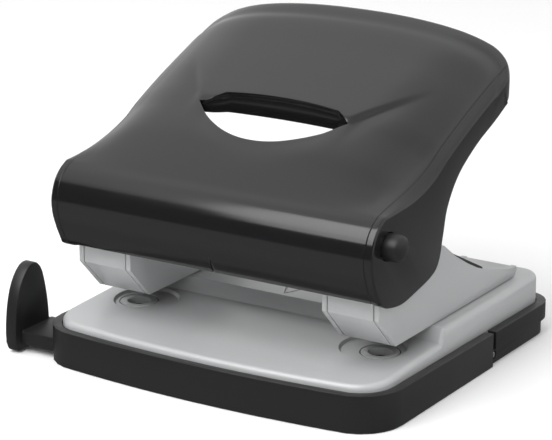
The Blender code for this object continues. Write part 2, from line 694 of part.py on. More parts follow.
def height_on(line, y):
    """Height of a line of (y, z) points at y, smooth between the points."""
    for i in range(len(line) - 1):
        if y <= line[i + 1][0] or i == len(line) - 2:
            (y0, z0), (y1, z1) = line[i], line[i + 1]
            before = line[i - 1] if i > 0 else (2 * y0 - y1, 2 * z0 - z1)
            after = line[i + 2] if i + 2 < len(line) else (2 * y1 - y0, 2 * z1 - z0)
            slope0 = (z1 - before[1]) / (y1 - before[0])
            slope1 = (after[1] - z0) / (after[0] - y0)
            t = (y - y0) / (y1 - y0)
            h = y1 - y0
            return ((2 * t ** 3 - 3 * t ** 2 + 1) * z0 + (t ** 3 - 2 * t ** 2 + t) * h * slope0
                    + (-2 * t ** 3 + 3 * t ** 2) * z1 + (t ** 3 - t ** 2) * h * slope1)


def roof_height(x, y):
    """Top of the handle: the crown line along the middle falls away to the side edges."""
    t = abs(x) / HANDLE_HALF_W
    flat_drop = 0.35 * t ** 2.5 + 0.65 * t ** 7
    round_drop = 0.6 * t ** 2.3 + 0.4 * t ** 8
    share = min(max((y - CROWN_FLAT_Y) / (HANDLE_REAR_Y - CROWN_FLAT_Y), 0.0), 1.0)
    drop = flat_drop * (1 - share) + round_drop * share
    crown = height_on(CROWN_LINE, y)
    edge = height_on(EDGE_LINE, y)
    return crown + (edge - crown) * drop


def rear_edge(x):
    """Rear edge seen from above: straight, with round corners."""
    past = max(abs(x) - (HANDLE_HALF_W - HANDLE_CORNER_R), 0.0)
    return HANDLE_REAR_Y - HANDLE_CORNER_R + math.sqrt(HANDLE_CORNER_R ** 2 - past ** 2) * 0.999


def handle_rows(x):
    """One line along the handle at this x, from its lower front edge to the foot of the rear lip."""
    rows = [(x, *smooth_through(ROLL, i / 9)) for i in range(10)]
    end = rear_edge(x) - 1.0
    start = ROLL[-1][0]
    for i in range(1, 15):
        y = start + (end - start) * i / 14
        rows.append((x, y, roof_height(x, y)))
    top = roof_height(x, end)
    rows.append((x, end + 0.8, top - 0.5))
    rows.append((x, end + 1.0, top - 1.6))
    rows.append((x, end + 0.7, top - HANDLE_LIP))
    return rows


def handle_skin():
    """Open surface of the handle: the roof, the rear lip and the two side walls."""
    shares = (0.0, 0.22, 0.4, 0.56, 0.69, 0.79, 0.87, 0.93, 0.975, 1.0)
    xs = [-s * HANDLE_HALF_W for s in reversed(shares)] + [s * HANDLE_HALF_W for s in shares[1:]]
    bm = bmesh.new()
    grid = [[bm.verts.new(Vector(p) * MM) for p in handle_rows(x)] for x in xs]
    for left, right in zip(grid, grid[1:]):
        for j in range(len(left) - 1):
            bm.faces.new((left[j], right[j], right[j + 1], left[j + 1]))
    for column in (grid[0], grid[-1]):
        side_wall(bm, column)
    bmesh.ops.remove_doubles(bm, verts=bm.verts, dist=WELD)
    return mesh_object("handle_shell", bm)


def side_wall(bm, column):
    """Flat side under one edge of the roof, down to the skirt line."""
    count = len(column)
    x = column[0].co.x
    foot = [column[0]]
    for j in range(1, count - 1):
        y, z = smooth_through(SKIRT_LINE, j / (count - 1))
        foot.append(bm.verts.new((x, y * MM, z * MM)))
    foot.append(column[-1])
    for j in range(count - 1):
        corners = [column[j], column[j + 1], foot[j + 1], foot[j]]
        bm.faces.new(list(dict.fromkeys(corners)))


def slot_outline():
    """Finger slot seen from above: a deep curve at the front and a flatter one at the rear."""
    half_depth = 11.2
    end_y = -12.1
    front = []
    rear = []
    for i in range(17):
        a = math.pi * i / 16
        x = SLOT_END_X * math.cos(a)
        front.append((x, end_y - half_depth * math.sin(a) ** 1.35))
        rear.append((-x, end_y + 8.4 * math.sin(a) ** 0.55))
    return front + rear[1:-1]


def handle_shell(mat):
    shell = handle_skin()
    bpy.context.view_layer.update()
    top = max(shell.data.polygons, key=lambda face: face.center.z)
    if top.normal.z < 0:
        shell.data.flip_normals()
    wall = shell.modifiers.new("Wall", "SOLIDIFY")
    wall.thickness = HANDLE_T * MM
    wall.offset = -1
    wall.use_even_offset = True
    for name, side in SIDES:
        x, y = screw_place(side)
        roof = roof_height(x, y)
        low = LEVER_PAD_Z + GAP
        high = roof - HANDLE_T
        boss = flat_piece(name + "_boss", [circle((x, y), BOSS_R, 20)], high - low,
                          top_plane((low + high) / 2))
        join(shell, boss)
        cut(shell, cylinder_cutter(name + "_boss_hole", (x, y, low - 1), SCREW_R + GAP,
                                   2 * (SCREW_BITE + 1.0), segments=16))
    cut(shell, flat_piece("finger_slot_cut", [slot_outline()], 60, top_plane(75)))
    left = (-HANDLE_HALF_W, PIVOT_Y, PIVOT_Z)
    right = (HANDLE_HALF_W, PIVOT_Y, PIVOT_Z)
    cut(shell, cylinder_cutter("left_axle_hole", left, AXLE_R + GAP, 12, "X", 24))
    cut(shell, cylinder_cutter("right_button_hole", right, KNOB_R + GAP, 12, "X", 28))
    return give(shell, mat, 40)


# ---------------------------------------------------------------- paper guide
def paper_guide(mat):
    """Upright stop with a flat bar that slides in the tray, out to the left."""
    fin_line = [(-46.6, 0.4), (-47.9, 3.4), (-47.6, 10.5), (-46.2, 17.0), (-44.0, 21.4), (-40.9, 24.4),
                (-37.6, 24.9), (-34.9, 22.4), (-33.3, 17.2), (-32.2, 10.8), (-31.6, 0.4)]
    count = 22
    outline = [tuple(smooth_through(fin_line, i / count)) for i in range(count + 1)]
    fin = flat_piece("paper_guide", [outline], FIN_T, side_plane(FIN_X + FIN_T / 2))
    low_z = TRAY_FLOOR_T + 1.5 * GAP
    low = (FIN_X + FIN_T - 1.0, BAR_FRONT_Y, low_z)
    high = (BAR_IN_X, BAR_FRONT_Y + BAR_W, low_z + BAR_T)
    join(fin, box("guide_bar", low, high))
    return give(fin, mat, 35)


# ---------------------------------------------------------------- the whole punch
clear_scene()
PUNCH = new_collection("hole_punch")
CUTTERS = new_collection("cutters")

gloss_black = material("gloss_black_abs", (0.035, 0.035, 0.037), 0.22, 0.0)
satin_black = material("satin_black_abs", (0.022, 0.022, 0.024), 0.45, 0.0)
painted = material("silver_painted_steel", (0.50, 0.50, 0.51), 0.35, 0.3)
hard_steel = material("ground_steel", (0.56, 0.56, 0.58), 0.22, 1.0)
spring_steel = material("spring_steel", (0.42, 0.42, 0.44), 0.3, 1.0)
zinc = material("zinc_plated_steel", (0.60, 0.61, 0.63), 0.3, 1.0)

chip_tray(satin_black)
chip_flap(satin_black)
base_plate(painted)
for tower, direction in SIDES:
    bracket(tower, direction, painted)
    front_panel(tower, direction, painted)
    pin_guide(tower, direction, satin_black)
    die(tower, direction, hard_steel)
    punch_pin(tower, direction, hard_steel)
    return_spring(tower, direction, spring_steel)
    press_lever(tower, direction, zinc)
    lever_screw(tower, direction, zinc)
    axle_clip(tower, direction, spring_steel)
    flap_hinge_pin(tower, direction, zinc)
    for place, rivet_y in zip(("front", "rear"), RIVET_YS):
        bracket_rivet(f"{tower}_{place}_rivet", direction, rivet_y, zinc)
pivot_axle(hard_steel)
press_bar(hard_steel)
lock_button(satin_black)
handle_shell(gloss_black)
paper_guide(satin_black)
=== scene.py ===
# %% [markdown]
# # A two-hole office punch
# The punch is a steel base with two towers, a moulded lever across them, a tray for the chips and
# a paper stop that slides. This lesson loads the engineering model as a fixed frame, and builds the
# finer outer surfaces and the finishes around it. Everything is in metres, in the frame's own axes:
# +X to the right, +Y to the rear, +Z up. Shapes are written in millimetres and multiplied by MM.

# %% Load the frame
import math

import bpy
from mathutils import Matrix, Vector


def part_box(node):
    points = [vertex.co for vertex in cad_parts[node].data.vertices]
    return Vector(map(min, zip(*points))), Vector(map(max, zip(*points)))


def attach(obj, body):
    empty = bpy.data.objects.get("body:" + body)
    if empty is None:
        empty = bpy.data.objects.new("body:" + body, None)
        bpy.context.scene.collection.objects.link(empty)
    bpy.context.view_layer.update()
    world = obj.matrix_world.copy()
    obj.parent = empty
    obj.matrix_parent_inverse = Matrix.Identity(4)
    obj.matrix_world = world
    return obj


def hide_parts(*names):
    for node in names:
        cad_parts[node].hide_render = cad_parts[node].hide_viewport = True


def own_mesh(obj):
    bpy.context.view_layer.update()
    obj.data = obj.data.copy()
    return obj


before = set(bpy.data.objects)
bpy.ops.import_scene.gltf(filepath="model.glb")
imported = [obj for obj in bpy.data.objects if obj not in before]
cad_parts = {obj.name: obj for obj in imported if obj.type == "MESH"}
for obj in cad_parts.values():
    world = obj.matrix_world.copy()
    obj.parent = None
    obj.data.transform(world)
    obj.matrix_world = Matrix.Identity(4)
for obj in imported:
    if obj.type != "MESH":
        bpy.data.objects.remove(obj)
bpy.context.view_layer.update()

MM = 0.001

# %% [markdown]
# ## Camera
# The view is a long lens from the right and a little above, as catalogues show such goods. A long
# lens keeps the far side nearly as large as the near side. The camera could be aimed with a
# constraint, but a matrix of its three axes is exact and has nothing left to evaluate.

# %% Camera
AZIMUTH, ELEVATION = math.radians(32.167), math.radians(17.367)
DISTANCE = 0.72433
LOOK_AT = Vector((-0.00824, 0.0030, 0.035915))
LENS_MM = 165.06

back = Vector((math.sin(AZIMUTH) * math.cos(ELEVATION), -math.cos(AZIMUTH) * math.cos(ELEVATION),
               math.sin(ELEVATION)))
right = Vector((math.cos(AZIMUTH), math.sin(AZIMUTH), 0))
bpy.ops.object.camera_add(location=LOOK_AT + back * DISTANCE)
camera = bpy.context.object
camera.name = "studio_camera"
camera.matrix_world = Matrix.Translation(LOOK_AT + back * DISTANCE) @ Matrix(
    (right, back.cross(right), back)).transposed().to_4x4()
camera.data.lens = LENS_MM
camera.data.sensor_width = 36
camera.data.clip_start = 0.01
bpy.context.scene.camera = camera
print("camera at", [round(v, 3) for v in camera.location])

# %% [markdown]
# ## Materials: the helpers
# A finish is a small graph of nodes. Two helpers keep the graphs readable: one turns a colour as a
# painter writes it into the linear numbers that light is computed with, and one adds a node together
# with its settings and links.

# %% Colour and node helpers
def linear(hex_colour):
    """An sRGB hex colour as linear red, green, blue and alpha."""
    channels = [int(hex_colour[i:i + 2], 16) / 255 for i in (1, 3, 5)]
    return [c / 12.92 if c <= 0.04045 else ((c + 0.055) / 1.055) ** 2.4 for c in channels] + [1.0]


def add_node(material, kind, settings=None, inputs=None):
    """A new node; settings are its properties, inputs are values or other nodes' outputs."""
    node = material.node_tree.nodes.new(kind)
    for name, value in (settings or {}).items():
        setattr(node, name, value)
    for name, value in (inputs or {}).items():
        if isinstance(value, bpy.types.NodeSocket):
            material.node_tree.links.new(value, node.inputs[name])
        else:
            node.inputs[name].default_value = value
    return node


def per_metre(size_mm):
    """Scale of a pattern whose features are this many millimetres across."""
    return 1000.0 / size_mm


# %% [markdown]
# ## Materials: moulded plastic and metal
# All of the punch's finishes share one build. A fine grain in object space gives a bump and moves
# the colour between two close tones, and a broader, softer noise makes the roughness wander as
# handling does. Flat values would be simpler, but a surface with none of this looks like a drawing.
# Real grain is about 0.05 mm, too fine to show at this distance, so it is drawn coarser.

# %% One builder for the finishes
HANDLED_MM = 22.0            # size of the patches that hands leave


def finish(name, colour, lighter, grain_mm, grain_depth_mm, rough, rough_span, shader_values):
    """A finish: its two tones, the grain's size and depth, the roughness and how far it wanders."""
    material = bpy.data.materials.new(name)
    material.use_nodes = True
    shader = material.node_tree.nodes["Principled BSDF"]
    for socket, value in shader_values.items():
        shader.inputs[socket].default_value = value
    surface = add_node(material, "ShaderNodeTexCoord").outputs["Object"]
    grain = add_node(material, "ShaderNodeTexNoise", None,
                     {"Vector": surface, "Scale": per_metre(grain_mm), "Detail": 3.0})
    bump = add_node(material, "ShaderNodeBump", None,
                    {"Height": grain.outputs["Fac"], "Strength": 0.5, "Distance": grain_depth_mm * MM})
    material.node_tree.links.new(bump.outputs["Normal"], shader.inputs["Normal"])
    handled = add_node(material, "ShaderNodeTexNoise", None,
                       {"Vector": surface, "Scale": per_metre(HANDLED_MM), "Detail": 2.0})
    spread = add_node(material, "ShaderNodeMapRange", None,
                      {"Value": handled.outputs["Fac"], "From Min": 0.3, "From Max": 0.7,
                       "To Min": rough - rough_span / 2, "To Max": rough + rough_span / 2})
    material.node_tree.links.new(spread.outputs["Result"], shader.inputs["Roughness"])
    tone = add_node(material, "ShaderNodeMix", {"data_type": "RGBA"},
                    {"A": linear(colour), "B": linear(lighter)})
    material.node_tree.links.new(grain.outputs["Fac"], tone.inputs["Factor"])
    material.node_tree.links.new(tone.outputs["Result"], shader.inputs["Base Color"])
    return material


# %% [markdown]
# ## Materials: the six finishes
# The handle and the tray are the same plastic from two moulds, one polished and one grained. The
# tower and base sheets are painted silver, and the hidden steel is ground, blued or plated. The
# roughness does most of the work: it decides how sharply each surface shows the lights.

# %% The finishes
# Moulded ABS, polished mould: deep black that shows the lights with nearly sharp edges.
handle_abs = finish("gloss_black_moulded_abs", "#161617", "#19191a", 0.9, 0.0012, 0.13, 0.03,
                    {"IOR": 1.56, "Metallic": 0.0})
# The same plastic from a grained mould: it spreads the lights into a soft grey.
tray_abs = finish("satin_black_moulded_abs", "#151516", "#1b1b1c", 0.45, 0.012, 0.44, 0.06,
                  {"IOR": 1.50, "Metallic": 0.0})
# Silver paint on pressed steel: mostly a light grey, with a fine flake and a thin clear layer.
silver_paint = finish("silver_painted_steel", "#adaeaf", "#b4b5b6", 0.35, 0.004, 0.36, 0.06,
                      {"Metallic": 0.15, "Coat Weight": 0.15, "Coat Roughness": 0.25})
# Turned and ground tool steel: bright, with a tight highlight.
ground_steel = finish("ground_tool_steel", "#a7a8aa", "#b4b5b7", 0.3, 0.003, 0.22, 0.05,
                      {"Metallic": 1.0})
# Spring wire and rings, blued by heat treatment.
spring_steel = finish("spring_steel_wire", "#6c6d70", "#7b7c80", 0.3, 0.003, 0.3, 0.06,
                      {"Metallic": 1.0})
# Zinc plate: paler, slightly cloudy.
zinc_plate = finish("zinc_plated_steel", "#b5b7ba", "#c4c6c9", 0.5, 0.004, 0.32, 0.08,
                    {"Metallic": 1.0})
print("finishes:", len(bpy.data.materials))


# %% [markdown]
# ## Working with the modelling tools
# The operators act on what is selected, so each step starts with nothing selected. These helpers
# open a piece in edit mode with chosen faces or edges, close it again, apply a modifier, cut a shape
# out, and hand a finished piece over to the frame.

# %% Edit-mode helpers
def only(piece):
    """Select this object alone and make it active."""
    if bpy.context.object and bpy.context.object.mode != "OBJECT":
        bpy.ops.object.mode_set(mode="OBJECT")
    bpy.ops.object.select_all(action="DESELECT")
    piece.select_set(True)
    bpy.context.view_layer.objects.active = piece


def open_with(piece, faces=(), edges=(), everything=False):
    """Edit mode with just these faces or edges selected."""
    only(piece)
    mesh = piece.data
    for group in (mesh.vertices, mesh.edges, mesh.polygons):
        group.foreach_set("select", [everything] * len(group))
    for index in faces:
        mesh.polygons[index].select = True
    for index in edges:
        mesh.edges[index].select = True
    by_face = everything or bool(faces)
    bpy.context.tool_settings.mesh_select_mode = (False, not by_face, by_face)
    bpy.ops.object.mode_set(mode="EDIT")


def close():
    """Leave edit mode."""
    bpy.ops.object.mode_set(mode="OBJECT")


def settle(piece, name):
    """Apply the object's place, turn and size to its mesh, and name it."""
    only(piece)
    bpy.ops.object.transform_apply(location=True, rotation=True, scale=True)
    piece.name = piece.data.name = name
    return piece


def use(piece, kind, **settings):
    """Add a modifier with these settings and apply it."""
    only(piece)
    modifier = piece.modifiers.new(kind.title(), kind)
    for name, value in settings.items():
        setattr(modifier, name, value)
    bpy.ops.object.modifier_apply(modifier=modifier.name)


def cut(piece, cutter):
    """Take the cutter's shape out of the piece, and remove the cutter."""
    use(piece, "BOOLEAN", operation="DIFFERENCE", solver="EXACT", object=cutter)
    bpy.data.objects.remove(cutter, do_unlink=True)


def smooth(piece, angle):
    """Shade smooth, but keep edges sharp that turn by more than this many degrees."""
    only(piece)
    bpy.ops.object.shade_smooth_by_angle(angle=math.radians(angle))


def place(piece, material, body, slot, *nodes):
    """Give a finished piece its material, the body it rides on and the nodes it stands for."""
    piece.data.materials.clear()
    piece.data.materials.append(material)
    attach(piece, body)
    if nodes:
        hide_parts(*nodes)
    print(f"{piece.name}: {len(piece.data.polygons)} faces on {body}")


# %% [markdown]
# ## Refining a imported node
# Sheet metal and mouldings never have razor edges: a tiny round along every edge catches a line of
# light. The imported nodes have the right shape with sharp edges, so a copy of each is merged, its
# flat areas are cleaned of triangles, and a narrow bevel runs along the edges. A bevel of 0 leaves
# a piece as it is, which suits those that are made of small facets already.

# %% Copy a node and round its edges
FLAT_DEGREES = 0.6           # faces that meet at less than this are one flat face
ROUNDED_DEGREES = 28         # an edge that turns by more than this gets a bevel
SHARP_DEGREES = 32


def refined(node, name, round_mm, cuts=()):
    """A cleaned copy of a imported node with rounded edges."""
    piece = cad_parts[node].copy()
    piece.data = piece.data.copy()
    bpy.context.collection.objects.link(piece)
    piece.parent = None
    piece.matrix_world = Matrix.Identity(4)
    piece.name = piece.data.name = name
    only(piece)
    bpy.ops.mesh.customdata_custom_splitnormals_clear()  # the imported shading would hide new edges
    open_with(piece, everything=True)
    bpy.ops.mesh.remove_doubles(threshold=0.000002)
    bpy.ops.mesh.dissolve_limited(angle_limit=math.radians(FLAT_DEGREES))
    close()
    for cutter in cuts:
        cut(piece, cutter)
    if round_mm:
        use(piece, "BEVEL", width=round_mm * MM, segments=2, limit_method="ANGLE",
            angle_limit=math.radians(ROUNDED_DEGREES), use_clamp_overlap=True)
    smooth(piece, SHARP_DEGREES)
    return piece


# %% [markdown]
# ## Tray, flap, stop, towers and levers
# Most pieces need nothing but that copy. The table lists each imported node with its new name, the
# radius of its edges in millimetres, its finish, its body and its slot: mouldings get a wider round
# than sheet metal, and the paper stop, which is thick and soft to the hand, the widest.

# %% Pieces that are refined copies
NODE_LOOKS = (
    ("chip_tray", "front_tray", 0.3, tray_abs, "base", "satin_black_plastic"),
    ("chip_flap", "rear_flap", 0.3, tray_abs, "flap", "satin_black_plastic"),
    ("paper_guide", "paper_stop", 0.7, tray_abs, "guide", "satin_black_plastic"),
    ("left_bracket", "left_tower", 0.18, silver_paint, "base", "silver_painted_steel"),
    ("right_bracket", "right_tower", 0.18, silver_paint, "base", "silver_painted_steel"),
    ("left_front_panel", "left_tower_front", 0.15, silver_paint, "base", "silver_painted_steel"),
    ("right_front_panel", "right_tower_front", 0.15, silver_paint, "base", "silver_painted_steel"),
    ("left_pin_guide", "left_guide_block", 0.2, tray_abs, "base", "satin_black_plastic"),
    ("right_pin_guide", "right_guide_block", 0.2, tray_abs, "base", "satin_black_plastic"),
    ("lock_button", "side_button", 0.3, tray_abs, "button", "gloss_black_plastic"),
    ("left_press_lever", "left_lever", 0.15, zinc_plate, "handle", "zinc_plated_steel"),
    ("right_press_lever", "right_lever", 0.15, zinc_plate, "handle", "zinc_plated_steel"),
)
for node, name, round_mm, material, body, slot in NODE_LOOKS:
    place(refined(node, name, round_mm), material, body, slot, node)


# %% [markdown]
# ## The base plate
# The plate is one pressing: a sloping table, a step up to a plateau, and a skirt all round. Round
# each die the table has a shallow round recess, and a V is pressed in behind the step as the
# mark for the paper's middle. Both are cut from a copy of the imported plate, which is pressed round at
# its edges and gets no bevel.

# %% Base plate with recesses and centre mark
plateau_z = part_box("base_plate")[1].z
die_low, die_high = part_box("right_die")
HOLE_X = (die_low.x + die_high.x) / 2
HOLE_Y = (die_low.y + die_high.y) / 2
TABLE_Z = die_high.z
TABLE_TILT = math.atan(0.04)
RECESS_DEPTH = 0.8 * MM
RECESS_INWARD, RECESS_BACK = 2.4 * MM, 0.4 * MM     # from the die's centre
CUTTER_LOW_R, CUTTER_HIGH_R, CUTTER_H = 8.9 * MM, 9.8 * MM, 1.2 * MM
MARK_TIP = (0.0, -5.6 * MM)
MARK_END_X, MARK_END_Y = 5.6 * MM, 7.0 * MM
MARK_W, MARK_DEEP = 0.55 * MM, 0.5 * MM


def recess_cutter(side):
    """A flat cone with its top above the table, tilted as the table is."""
    bpy.ops.mesh.primitive_cone_add(vertices=72, radius1=CUTTER_LOW_R, radius2=CUTTER_HIGH_R,
                                    depth=CUTTER_H, rotation=(TABLE_TILT, 0, 0),
                                    location=(side * (HOLE_X - RECESS_INWARD), HOLE_Y + RECESS_BACK,
                                              TABLE_Z + CUTTER_H / 2 - RECESS_DEPTH))
    return settle(bpy.context.object, "recess_cutter")


def groove_cutter(start, end, width, z, depth):
    """A thin bar along a line on the plateau."""
    middle = (Vector(start) + Vector(end)) / 2
    run = Vector(end) - Vector(start)
    bpy.ops.mesh.primitive_cube_add(size=1, location=(middle.x, middle.y, z),
                                    rotation=(0, 0, math.atan2(run.y, run.x)))
    bar = bpy.context.object
    bar.scale = (run.length, width, 2 * depth)
    return settle(bar, "groove_cutter")


recesses = [recess_cutter(side) for side in (-1, 1)]
marks = [groove_cutter(MARK_TIP, (side * MARK_END_X, MARK_END_Y), MARK_W, plateau_z, MARK_DEEP)
         for side in (-1, 1)]
plate = refined("base_plate", "pressed_base_plate", 0, recesses + marks)
place(plate, silver_paint, "base", "silver_painted_steel", "base_plate")

# %% [markdown]
# ## The handle: its lines
# The handle is one moulding: a roll over the pivot at the front, a roof that climbs to the rear and
# is crowned from side to side, a rim round its rear edge, and two side walls. It could be modelled
# with a few large subdivision patches, but a fine grid that is set point by point from a handful of
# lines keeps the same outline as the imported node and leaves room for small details.

# %% Lines of the handle, in millimetres
HALF_W = -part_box("handle_shell")[0].x / MM
ROLL = [(-41.7, 34.3), (-44.2, 39.5), (-45.7, 44.0), (-45.9, 48.2), (-44.4, 52.6), (-41.8, 55.6),
        (-38.6, 57.5)]
EDGE_LINE = [(-38.6, 57.5), (-33.5, 57.6), (-22.4, 58.5), (-12.7, 61.4), (-5.1, 65.6), (6.6, 71.0),
             (18.7, 75.8), (27.5, 79.0), (36.6, 81.4)]
CROWN_LINE = [(-38.6, 57.5), (-30.5, 63.2), (-23.0, 68.0), (-12.0, 73.2), (0.0, 78.2), (15.5, 84.8),
              (27.0, 89.7), (36.6, 92.8)]
SKIRT_LINE = [(-41.7, 34.3), (-37.5, 32.3), (-30.0, 31.2), (-22.0, 32.4), (-13.0, 34.6), (-9.4, 37.8),
              (-7.4, 44.5), (-5.0, 52.0), (1.0, 59.4), (11.0, 65.4), (21.4, 69.6), (31.0, 74.0)]
REAR_Y, CORNER_R, LIP = 36.6, 9.0, 6.0
CROWN_FLAT_Y = -10.0         # the crown is flat across up to here and rounder behind it
WALL = 2.1
STRIP_X = HALF_W - 2.4       # a flat strip runs along each side edge from here


def along(line, share):
    """Point on a smooth curve through the line's points; share runs from 0 to 1."""
    last = len(line) - 1
    i = min(int(share * last), last - 1)
    t = share * last - i
    p = [None, Vector(line[i]), Vector(line[i + 1]), None]
    p[0] = Vector(line[i - 1]) if i > 0 else 2 * p[1] - p[2]
    p[3] = Vector(line[i + 2]) if i + 2 <= last else 2 * p[2] - p[1]
    return 0.5 * (2 * p[1] + (p[2] - p[0]) * t + (2 * p[0] - 5 * p[1] + 4 * p[2] - p[3]) * t * t
                  + (3 * p[1] - p[0] - 3 * p[2] + p[3]) * t ** 3)


def height_on(line, y):
    """Height of a line of (y, z) points at y, smooth between the points."""
    for i in range(len(line) - 1):
        if y <= line[i + 1][0] or i == len(line) - 2:
            (y0, z0), (y1, z1) = line[i], line[i + 1]
            before = line[i - 1] if i > 0 else (2 * y0 - y1, 2 * z0 - z1)
            after = line[i + 2] if i + 2 < len(line) else (2 * y1 - y0, 2 * z1 - z0)
            slope0 = (z1 - before[1]) / (y1 - before[0])
            slope1 = (after[1] - z0) / (after[0] - y0)
            t = (y - y0) / (y1 - y0)
            h = y1 - y0
            return ((2 * t ** 3 - 3 * t ** 2 + 1) * z0 + (t ** 3 - 2 * t ** 2 + t) * h * slope0
                    + (-2 * t ** 3 + 3 * t ** 2) * z1 + (t ** 3 - t ** 2) * h * slope1)


def eased(value, low, high):
    """0 below low, 1 above high, smooth between."""
    t = min(max((value - low) / (high - low), 0.0), 1.0)
    return t * t * (3 - 2 * t)


def crowned(x, y):
    """Height of the plain crowned roof."""
    t = abs(x) / HALF_W
    flat_drop = 0.35 * t ** 2.5 + 0.65 * t ** 7
    round_drop = 0.6 * t ** 2.3 + 0.4 * t ** 8
    share = min(max((y - CROWN_FLAT_Y) / (REAR_Y - CROWN_FLAT_Y), 0.0), 1.0)
    crown = height_on(CROWN_LINE, y)
    return crown + (height_on(EDGE_LINE, y) - crown) * (flat_drop * (1 - share) + round_drop * share)


def rear_edge(x):
    """Rear edge seen from above: straight, with round corners."""
    past = max(abs(x) - (HALF_W - CORNER_R), 0.0)
    return REAR_Y - CORNER_R + math.sqrt(CORNER_R ** 2 - past ** 2) * 0.999


# %% [markdown]
# ## The handle: small forms
# The finger slot opens between a scooped front edge and a palm dome behind it. From each end of the
# slot a crease runs outwards and back and fades away, which is where the dome meets the flank. A
# flat strip follows each side edge, and a shallow gutter runs ahead of the rear rim. Each form is a
# small height that is added to the roof, so they can be tuned one by one.

# %% Small forms on the roof
SLOT_TIP_X, SLOT_TIP_Y = 24.2, -12.0
SLOT_SIDE_X, SLOT_LEFT_X = 19.6, 17.2        # where the rear lip ends, right and left
SLOT_FRONT_BOW = 11.2
SLOT_REAR_Y, SLOT_REAR_BOW = -7.7, 1.3
STRIP_RISE, STRIP_BLEND = 0.3, 4.5           # the strip stands up, and the roof rises to it
SCOOP_DEPTH, SCOOP_REACH, SCOOP_FADE_X = 0.75, 4.5, 18.0
CREASE_SLOPE, CREASE_END_X = 1.24, 41.0
CREASE_DEPTH, CREASE_REACH, CREASE_START = 0.45, 4.0, 4.0
DOME_RISE, DOME_REACH = 0.7, 16.0
GUTTER_DEPTH, GUTTER_BACK, GUTTER_HALF = 0.35, 6.0, 2.4


def slot_front(x):
    """The slot's front edge: deepest in the middle, running out to the tips."""
    return SLOT_TIP_Y - SLOT_FRONT_BOW * (1 - (abs(x) / SLOT_TIP_X) ** 2.1)


def slot_rear(x):
    """The slot's rear lip, nearly straight."""
    return SLOT_REAR_Y - SLOT_REAR_BOW * (abs(x) / SLOT_SIDE_X) ** 2


def roof(x, y):
    """Height of the roof with all its small forms."""
    side = abs(x)
    if side > STRIP_X:
        share = (side - STRIP_X) / (HALF_W - STRIP_X)
        z = crowned(STRIP_X, y) * (1 - share) + crowned(HALF_W, y) * share
        z += STRIP_RISE * (1 - share)
    else:
        z = crowned(side, y) + STRIP_RISE * eased(side, STRIP_X - STRIP_BLEND, STRIP_X)
    # scoop ahead of the slot
    if y < SLOT_TIP_Y:
        reach = max(slot_front(min(side, SLOT_TIP_X)) - y, 0.0)
        scoop = SCOOP_DEPTH * (1 - eased(side, SCOOP_FADE_X, SLOT_TIP_X))
        z -= scoop * math.exp(-(reach / SCOOP_REACH) ** 2)
    # crease from the slot's tip, with the palm dome behind it
    crease_y = SLOT_TIP_Y + max(side - SLOT_TIP_X, 0.0) * CREASE_SLOPE
    fade = 1 - eased(side, SLOT_TIP_X, CREASE_END_X)
    past = (y - crease_y) / math.hypot(1, CREASE_SLOPE)
    width = 1.0 + 1.5 * eased(side, SLOT_TIP_X, CREASE_END_X)
    if past > 0:
        z += DOME_RISE * fade * eased(past, 0.0, width) * math.exp(-(past / DOME_REACH) ** 2)
    if side > SLOT_TIP_X:
        depth = CREASE_DEPTH * fade * eased(side, SLOT_TIP_X, SLOT_TIP_X + CREASE_START)
        ahead = min(past, 0.0)
        z -= depth * math.exp(-(ahead / CREASE_REACH) ** 2) * (1 - eased(past, 0.0, width))
    # shallow gutter ahead of the rear rim
    from_rear = rear_edge(x) - y
    z -= GUTTER_DEPTH * math.exp(-((from_rear - GUTTER_BACK) / GUTTER_HALF) ** 2)
    return z


# %% [markdown]
# ## The handle: the grid
# A grid primitive is made with one row and one column for each station, and every point is then
# moved to its place on the handle. The stations crowd together where the shape turns: along the
# side strips and seams, and at the mark in the middle of the front edge.

# %% Stations across and along the handle
SEAM_X, SEAM_HALF, SEAM_DEPTH = STRIP_X, 0.1, 0.22
NOTCH_HALF, NOTCH_DEPTH, NOTCH_TOP_Z = 0.2, 0.55, 38.4      # the mark on the front edge
EDGE_R = 0.8
COLUMN_STEP = 0.8
half_columns = [0.0, 0.12, 0.26] + [COLUMN_STEP * i for i in range(1, 60)] + [47.8, 48.4, 48.9]
half_columns += [SEAM_X - 0.15, SEAM_X, SEAM_X + 0.15, SEAM_X + 0.45, 50.2]
half_columns += [HALF_W - EDGE_R * (1 - math.sin(math.radians(a))) for a in (0, 18, 36, 54, 72, 90)]
columns = [-x for x in reversed(half_columns[1:])] + half_columns
ROLL_ROWS, ROOF_ROWS = 26, 96
RIM_LINE = ((0.35, -0.12), (0.65, -0.33), (0.88, -0.7), (1.0, -1.2), (1.0, -2.6), (0.85, -LIP))
RIM_R = 1.0
row_count = ROLL_ROWS + ROOF_ROWS + len(RIM_LINE)
ROOF_FRONT = ROLL[-1][0]
print("stations:", len(columns), "across,", row_count + 1, "along")

# %% [markdown]
# ## The handle: drawing the grid on to the slot
# A slot could be cut with a boolean, which leaves long thin faces round it that shade badly on a
# gloss surface. Here a block of the grid's faces becomes the hole instead. The rings of points round
# the block are drawn on to the slot's outline, fully at the block and not at all at the outer ring.

# %% The slot's outline and the pull towards it
HOLE_ROW_FRONT, HOLE_ROW_REAR = 28, 40
ROW_STEP = (rear_edge(0) - RIM_R - ROOF_FRONT) / ROOF_ROWS
HOLE_HALF_X = 21 * COLUMN_STEP
HOLE_FRONT, HOLE_REAR = (ROOF_FRONT + row * ROW_STEP for row in (HOLE_ROW_FRONT, HOLE_ROW_REAR))
RING_HALF_X, RING_FRONT, RING_REAR = 38.4, -33.0, 8.0
LEFT_DIP = 1.0               # the left end's edge dips this much


